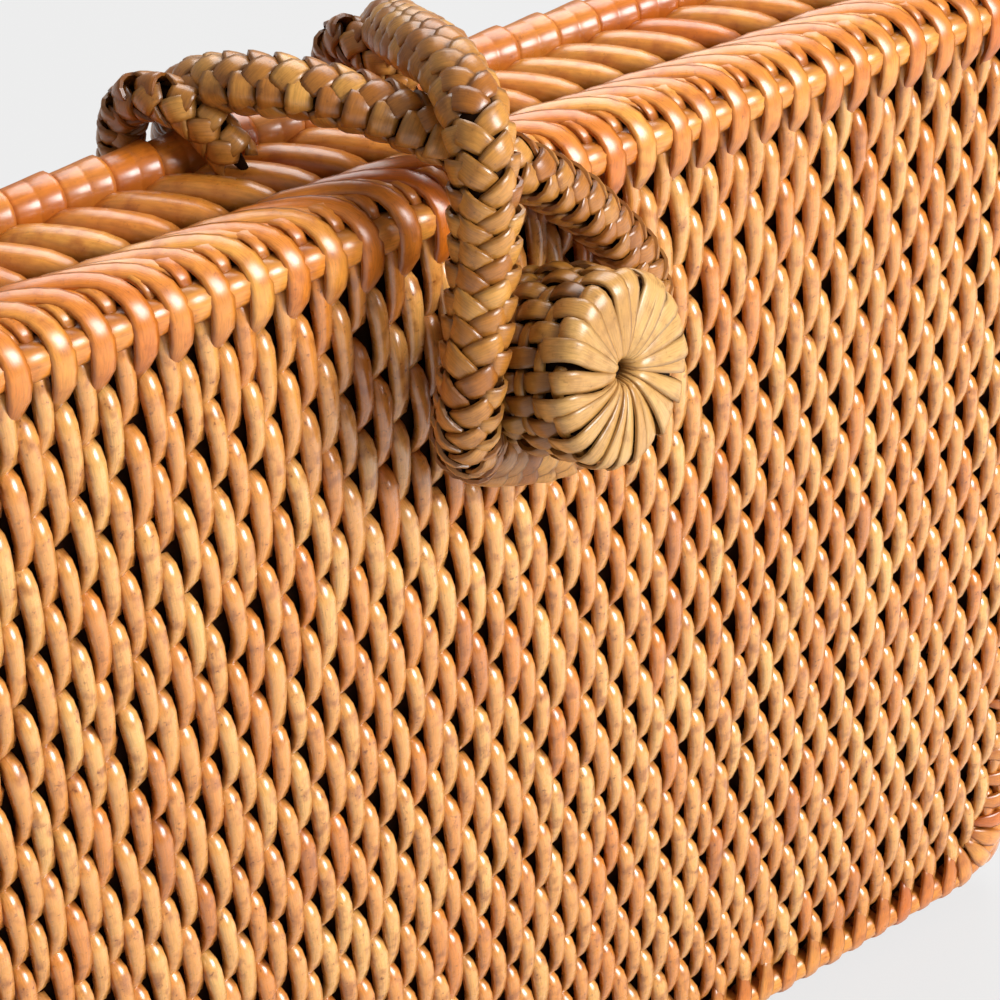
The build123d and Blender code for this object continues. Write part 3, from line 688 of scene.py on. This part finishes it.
# Strand from under the rope to the seam: along the edge, lift, depth, width, height
STRAND_LINE = rounded([
    (-2.6, -0.2, 16.6, 2.8, 1.5), (-1.3, 1.2, 15.0, 3.6, 1.9), (0.4, 1.8, 12.9, 3.9, 2.0),
    (2.2, 2.0, 10.7, 3.9, 2.0), (4.0, 1.9, 8.6, 3.9, 2.0), (5.6, 1.6, 6.7, 3.6, 1.9),
    (6.9, 0.7, 5.0, 3.0, 1.6),
], 9)
STRAND_BLANK = cane_blank(len(STRAND_LINE), 10, 0.8)
jitter = scatter(STRAND_COUNT, 3)
along, lift, depth, width, height = STRAND_LINE.T
s = strand_starts + along + 0.15 * jitter[:, 0:1]
strands = lay(STRAND_BLANK, back_edge.point(s, lift - 0.1 + 0.08 * jitter[:, 1:2], depth),
              back_edge.out(s), width, height * 0.95, shades(0.6, 0.2, jitter[:, 2]))
piece("back_strands", [strands], cane_glossy, "back_half", ["back_shell"])
hoop("back_narrow_wall", back_edge,
     [(0.5, SEAM + SEAM_GAP), (0.5, 15.0), (-2.6, 15.0), (-2.6, SEAM + SEAM_GAP)], "back_half")
shoulder_edge = Edge(6.4, 145.5, 8.5)
hoop("back_shoulder", shoulder_edge, [(0.0, 13.0), (0.0, 19.2), (-3.0, 19.2), (-3.0, 13.0)], "back_half")


def back_crest(z):
    """Depth of the back stitches' line at height z."""
    return BACK + belly(z) - CREST_INSET


back_places = stitch_places(6.4, 6.4, 145.5, 8.5, 1.1, (4.0, 3.5, 0.6))
back_tones = shades(0.62, 0.2, random.standard_normal(len(back_places)), 0.12)
along, width = SEGMENT_LINE.T
s = (strand_starts + along * 1.75) * shoulder_edge.length / back_edge.length
rim = lay(SEGMENT_BLANK, shoulder_edge.point(s, -1.0, 18.9), (0, 1, 0), width * 0.8, width * 0.4,
          back_tones[:STRAND_COUNT])
piece("back_rim_coil", [rim], cane_glossy, "back_half")
piece("back_stitches", [wall_of_stitches(back_places, back_crest, 1, back_tones, seed=2)], cane_honey,
      "back_half")
ladder("back_coils", lambda z: BACK + belly(z) - COIL_INSET, 1, 6.6, 6.6, 145.3, 8.3, "back_half")

# Inner faces of both trays' large walls: the other side of the same coils, which shorter
# cane stitches bind row by row.
LINING_INSET = 0.55  # from a wall's inner face to its stitches' line
INNER_BLANK = cane_blank(4, 5)
INNER_LINE = np.array([
    (0.3, 0.0, -0.5, 1.6), (-1.2, 0.05, 0.0, 2.1), (-4.4, 0.15, 0.0, 2.1), (-5.9, 0.2, -0.5, 1.6),
])


def front_inner_face(z):
    """Depth of the front lining's line at height z."""
    return FRONT + WALL - belly(z) - LINING_INSET


def back_inner_face(z):
    """Depth of the back lining's line at height z."""
    return BACK - WALL + belly(z) + LINING_INSET


for label, crest, sign, body, inset, high in (
        ("front_lining", front_inner_face, 1, "front_half", 5.6, 145.8),
        ("back_lining", back_inner_face, -1, "back_half", 9.6, 142.4)):
    places = stitch_places(inset, inset - 4.5, high + 6.5, 8.0)
    places = places[(places[:, 1] < high) & (places[:, 1] > inset + 5.5)]
    tones = shades(0.55, 0.2, random.standard_normal(len(places)))
    stitches = wall_of_stitches(places, crest, sign, tones, INNER_LINE, INNER_BLANK, seed=3)
    piece(label, [stitches], cane_honey, body)

# Inner sides of the narrow walls: flat cane strips side by side, from the seam to the large
# wall, that hide the core which the outer strips are wound over.
LINER_BLANK = cane_blank(4, 10, 0.5, flat=True)
LINER_COUNT = 2 * STRAND_COUNT
for label, edge, body, depth in (
        ("front_inner_strips", front_edge, "front_half", (SEAM - 0.4, 2.4, 0.6, -1.2)),
        ("back_inner_strips", back_edge, "back_half", (SEAM + 0.4, 8.0, 12.0, 15.4))):
    s = (np.arange(LINER_COUNT) * edge.length / LINER_COUNT)[:, None] + np.array((0.0, 0.5, 1.0, 1.5))
    tones = shades(0.5, 0.2, random.standard_normal(LINER_COUNT))
    liners = lay(LINER_BLANK, edge.point(s, -3.0, np.array(depth)), -edge.out(s), 2.9, 0.5, tones)
    piece(label, [liners], cane_honey, body)

# Edge rope of the back tray: a core wound with cane, each wrap fatter at its right end, with
# a faint groove half way between its two strips. It runs along the edge of the large wall.
ROPE_COUNT = 117
ROPE_Y = 17.7
rope_edge = Edge(3.0, 148.9, 12.0)
rope_step = rope_edge.length / ROPE_COUNT
# Wrap from its thin end: along the rope, and radius
WRAP_LINE = np.array([
    (-0.4, 1.9), (0.0, 2.4), (0.5, 2.55), (1.6, 2.64), (2.7, 2.74), (2.85, 2.71), (3.0, 2.77), (4.1, 2.88),
    (5.1, 2.98), (5.5, 2.96), (5.72, 2.7), (5.8, 2.2),
])
WRAP_LENGTH = 5.8
WRAP_BLANK = cane_blank(len(WRAP_LINE), 14, 1.0)
jitter = scatter(ROPE_COUNT, 2)
along, radius = WRAP_LINE.T
s = (np.arange(ROPE_COUNT) * rope_step)[:, None] + along * rope_step / WRAP_LENGTH
wraps = lay(WRAP_BLANK, rope_edge.point(s, 0.0, ROPE_Y), rope_edge.out(s), 2 * radius * 0.995,
            radius * 0.995, shades(0.45, 0.2, jitter[:, 0], 0.08))
piece("edge_rope", [wraps], cane_glossy, "back_half", ["back_edge_rope"])

# Keepers: two short plaits of straw beside the loop's roots. Each comes out through the back
# wall, bends over the edge rope and ends loose on the upper edge.
KEEPER_D = 5.2
KEEPER_CORE_RADIUS = 1.3
KEEPER_TIP = 0.2  # the core's radius at its loose end, as a share
LEFT_KEEPER_ROUTE = [
    (-22.4, 19.4, 138.6), (-22.6, 24.4, 143.4), (-23.0, 24.2, 150.4), (-23.4, 20.4, 156.2),
    (-21.4, 15.4, 157.0), (-18.4, 12.0, 153.4), (-15.8, 10.6, 148.4),
]
RIGHT_KEEPER_ROUTE = [
    (4.8, 19.4, 138.6), (4.8, 24.4, 143.4), (4.2, 24.2, 150.2), (2.8, 20.4, 155.6),
    (3.2, 15.0, 155.6), (5.4, 11.6, 151.8), (6.4, 10.6, 148.4),
]
for side, route in (("left", LEFT_KEEPER_ROUTE), ("right", RIGHT_KEEPER_ROUTE)):
    core, line = nurbs_line(f"{side}_keeper_core", route, KEEPER_CORE_RADIUS)
    core.data.splines[0].points[-1].radius = KEEPER_TIP
    # Near-black core: painted shade in the gaps of the keeper's plait.
    core.data.materials.append(core_shade)
    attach(core, "back_half")
    cells = plait(line, KEEPER_D / 2 + 0.4, np.ones_like, np.ones_like)
    piece(f"{side}_keeper", cells, cord_straw, "back_half", [f"{side}_loop_keeper"])

# Toggle: a barrel plaited from straw strips that meet at the centre of its face. Its stem
# goes through the front wall, and a straw coil is wound round the stem behind the barrel.
TOGGLE_BASE = np.array((1.8, FRONT, 129.6))
TOGGLE_AXIS = np.array((0.213, -0.955, 0.205))
TOGGLE_AXIS /= np.linalg.norm(TOGGLE_AXIS)
TOGGLE_R = 10.0
toggle_side = np.cross(TOGGLE_AXIS, (0, 0, 1))
toggle_side /= np.linalg.norm(toggle_side)
toggle_up = np.cross(toggle_side, TOGGLE_AXIS)


def on_toggle(along, radius, angle):
    """Points round the toggle's axis and their outward directions."""
    along, radius, angle = np.broadcast_arrays(along, radius, angle)
    out = toggle_up * np.cos(angle)[..., None] + toggle_side * np.sin(angle)[..., None]
    return TOGGLE_BASE + TOGGLE_AXIS * along[..., None] + out * radius[..., None], out


straw = strip_material("toggle_straw", colour(228, 180, 108), colour(204, 144, 68), colour(92, 50, 12),
                       specks=0.35, ends=0.6, gloss=0.36, coat=0.35, grain=0.2)
# The barrel's side is darker straw than its face: partly the straw's own colour, partly painted shade of a
# side turned from the light and lying under the loop.
side_straw_and_shade = strip_material("toggle_side_straw_and_shade", colour(206, 150, 70), colour(158, 100, 32),
                            colour(64, 36, 8), specks=0.4, ends=0.75, gloss=0.34, coat=0.4, grain=0.2)
FACE = 24  # strips that meet at the centre of the face
TWIST = 0.018  # radians of turn a millimetre along the barrel
TWIST_FROM = 18
# Face strip from the hole outward: radius, distance along the axis, width, lean to the rim
FACE_LINE = [
    (1.3, 18.2, 0.6, 0.0), (1.7, 20.2, 0.85, 0.0), (2.7, 20.8, 1.2, 0.0), (4.8, 21.1, 1.75, 0.0),
    (7.1, 21.1, 2.15, 0.0), (9.0, 20.9, 2.3, 0.1), (10.0, 20.1, 2.35, 0.6),
]
# Every other strip goes on further over the rim before it dives into the side's plait
LONG_FOOT = [(10.2, 18.7, 2.4, 1.0), (10.0, 17.5, 2.4, 1.0), (9.2, 16.3, 2.0, 1.0)]
SHORT_FOOT = [(10.0, 19.3, 2.2, 1.0), (9.2, 18.5, 1.9, 1.0)]
PLEAT_BLANK = cane_blank(16, 10, 0.5, flat=True)
pleats, tiles, bits = [], [], []
jitter = scatter(FACE, 4)
for parity, foot in enumerate((LONG_FOOT, SHORT_FOOT)):
    radius, along, width, lean = rounded(FACE_LINE + foot, 16).T
    own = np.arange(parity, FACE, 2)
    turn = np.radians(own * 360 / FACE)[:, None] + 0.04 * jitter[own, 0:1]
    turn = turn + np.interp(radius, (1, 9), (0.2, 0.0)) - TWIST * (along - TWIST_FROM)
    turn = turn + 0.05 * jitter[own, 1:2] * np.interp(radius, (5, 9), (1, 0))
    lines, out = on_toggle(along - 0.3 - 0.15 * parity - 0.1 * jitter[own, 1:2], radius, turn)
    face_out = TOGGLE_AXIS * (1 - lean[:, None]) + out * lean[:, None]
    shingle = np.interp(radius, (5, 9), (0.3, 0.1))[:, None] * np.cross(TOGGLE_AXIS, out)
    pleats.append(lay(PLEAT_BLANK, lines, face_out + shingle, width * (1 + 0.05 * jitter[own, 3:4]),
                      0.3, shades(0.75, 0.2, jitter[own, 2], 0.2)))
# Side of the barrel: strips along it go over and under narrower ones round it. A ring of
# them has a parity, a middle along the axis, half a length, and how far it is drawn in.
SIDE_RINGS = ((0, 14.0, 2.15, 0.0), (0, 9.6, 1.5, 0.7), (1, 16.4, 2.15, 0.0), (1, 11.7, 2.15, 0.0),
              (1, 8.6, 1.5, 0.7))
BIT_REACH = 11  # degrees round the barrel from the middle of a narrow strip to its end
TILE = rounded([(-0.85, 1.8), (-0.05, 2.15), (0.2, 2.2), (-0.05, 2.15), (-0.85, 1.8)], STRIP_STATIONS)
lift, width = TILE.T
for parity, middle, half, drawn_in in SIDE_RINGS:
    own = np.arange(parity, FACE, 2)
    jitter = scatter(len(own), 3)
    along = middle + half * STRIP_SHARE + 0.1 * jitter[:, 0:1]
    angle = np.radians(own * 360 / FACE)[:, None] - TWIST * (along - TWIST_FROM)
    lines, out = on_toggle(along, TOGGLE_R - 0.25 - drawn_in + lift + 0.08 * jitter[:, 1:2], angle)
    tiles.append(lay(STRIP_BLANK, lines, out, width, 0.45, shades(0.5, 0.25, jitter[:, 2], 0.0)))
    along = middle + half + 0.3 + 0.1 * jitter[:, 0:1]
    angle = angle[:, 3:4] + np.radians(BIT_REACH) * STRIP_SHARE
    lines, out = on_toggle(along, TOGGLE_R - 0.5 - drawn_in + 0.6 * lift, angle)
    bits.append(lay(STRIP_BLANK, lines, out, 1.3, 0.4, shades(0.75, 0.2, jitter[:, 1], 0.05)))
piece("toggle_plait", pleats, straw, "front_half", ["toggle_barrel"])
piece("toggle_side", tiles + bits, side_straw_and_shade, "front_half")
# The barrel's core, coloured near black as painted shade for the hole and the gaps in its plait, turned
# about the axis: distance along it, and radius
CORE_PROFILE = ((8.3, 7.0), (9.3, 8.3), (11.0, 8.8), (18.4, 9.0), (20.0, 8.0), (20.3, 3.0), (18.6, 1.2))
CORE_SIDES = 24
angle = np.radians(np.arange(CORE_SIDES) * 360 / CORE_SIDES)
rings = np.stack([on_toggle(along, radius, angle)[0] for along, radius in CORE_PROFILE])
last_ring = (len(CORE_PROFILE) - 1) * CORE_SIDES
faces = [tuple(range(CORE_SIDES))[::-1], tuple(last_ring + i for i in range(CORE_SIDES))]
for ring in range(0, last_ring, CORE_SIDES):
    for i in range(CORE_SIDES):
        after = (i + 1) % CORE_SIDES
        faces.append((ring + i, ring + after, ring + CORE_SIDES + after, ring + CORE_SIDES + i))
core_mesh = bpy.data.meshes.new("toggle_core")
core_mesh.from_pydata([tuple(v * MM) for v in rings.reshape(-1, 3)], [], faces)
core_mesh.polygons.foreach_set("use_smooth", np.ones(len(faces), bool))
core_mesh.update()
toggle_core = bpy.data.objects.new("toggle_core", core_mesh)
bpy.context.scene.collection.objects.link(toggle_core)
core_mesh.materials.append(core_shade)
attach(toggle_core, "front_half")
# Neck: three turns of straw round the stem
NECK_START, NECK_LENGTH, NECK_R = 1.7, 5.9, 2.5
NECK_TURN = np.linspace(0, 3 * 2 * math.pi, 60)
lines, out = on_toggle(NECK_START + NECK_LENGTH * NECK_TURN[None] / NECK_TURN[-1], NECK_R, NECK_TURN[None])
neck = lay(cane_blank(len(NECK_TURN), 7, 1.0), lines, out, 1.9, 0.95, 0.7)
piece("toggle_neck", [neck], straw, "front_half", ["toggle_collar"])
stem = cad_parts["toggle_stem"]
stem.data.materials.clear()
stem.data.materials.append(straw)

# Hinges: three pins of round cane along the bottom edge, each held by straps of flat cane
# that are bent round it and tucked into the two trays.
for name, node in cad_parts.items():
    if "hinge_cane" in name or "strap" in name:
        node.data.materials.clear()
        node.data.materials.append(cane_glossy)

# Floor and light: a plain pale floor just under the bag, a soft lamp from the front right and
# above, a wider one from behind on the right, and a faint white sky.
FLOOR_Z = -0.0002
SEEN_SHARE = 0.85  # how much of its own even brightness the floor shows to the camera
LAMP_AIM = Vector((0.0, 0.0, 0.11))
bpy.ops.object.select_all(action="DESELECT")
bpy.ops.mesh.primitive_plane_add(size=6.0, location=(0, 0, FLOOR_Z))
floor = bpy.context.object
floor.name = "floor"
paper = bpy.data.materials.new("pale_paper")
paper.use_nodes = True
nodes, link = paper.node_tree.nodes, paper.node_tree.links.new
nodes["Principled BSDF"].inputs["Base Color"].default_value = (0.7, 0.7, 0.7, 1)
nodes["Principled BSDF"].inputs["Roughness"].default_value = 0.9
glow = nodes.new("ShaderNodeEmission")
glow.inputs["Color"].default_value = (0.852, 0.852, 0.852, 1)
seen = nodes.new("ShaderNodeLightPath")
product = nodes.new("ShaderNodeMath")
product.operation = "MULTIPLY"
product.inputs[1].default_value = SEEN_SHARE
mixed = nodes.new("ShaderNodeMixShader")
factor, lit, even = mixed.inputs
link(seen.outputs["Is Camera Ray"], product.inputs[0])
link(product.outputs[0], factor)
link(nodes["Principled BSDF"].outputs[0], lit)
link(glow.outputs[0], even)
link(mixed.outputs[0], nodes["Material Output"].inputs["Surface"])
floor.data.materials.append(paper)


def lamp(name, direction, distance, size, power):
    """A square lamp that far from the bag's upper middle, turned to it."""
    data = bpy.data.lights.new(name, "AREA")
    data.size = size
    data.energy = power
    made = bpy.data.objects.new(name, data)
    made.location = LAMP_AIM + Vector(direction).normalized() * distance
    made.rotation_euler = (made.location - LAMP_AIM).to_track_quat("Z", "Y").to_euler()
    bpy.context.scene.collection.objects.link(made)


lamp("key", (0.42, -0.78, 0.48), 0.9, 0.4, 9.8)
lamp("back", (0.45, 0.5, 0.75), 0.9, 0.7, 6.0)
world = bpy.data.worlds.new("studio")
world.use_nodes = True
world.node_tree.nodes["Background"].inputs["Color"].default_value = (1.0, 1.0, 1.0, 1)
world.node_tree.nodes["Background"].inputs["Strength"].default_value = 0.25
bpy.context.scene.world = world
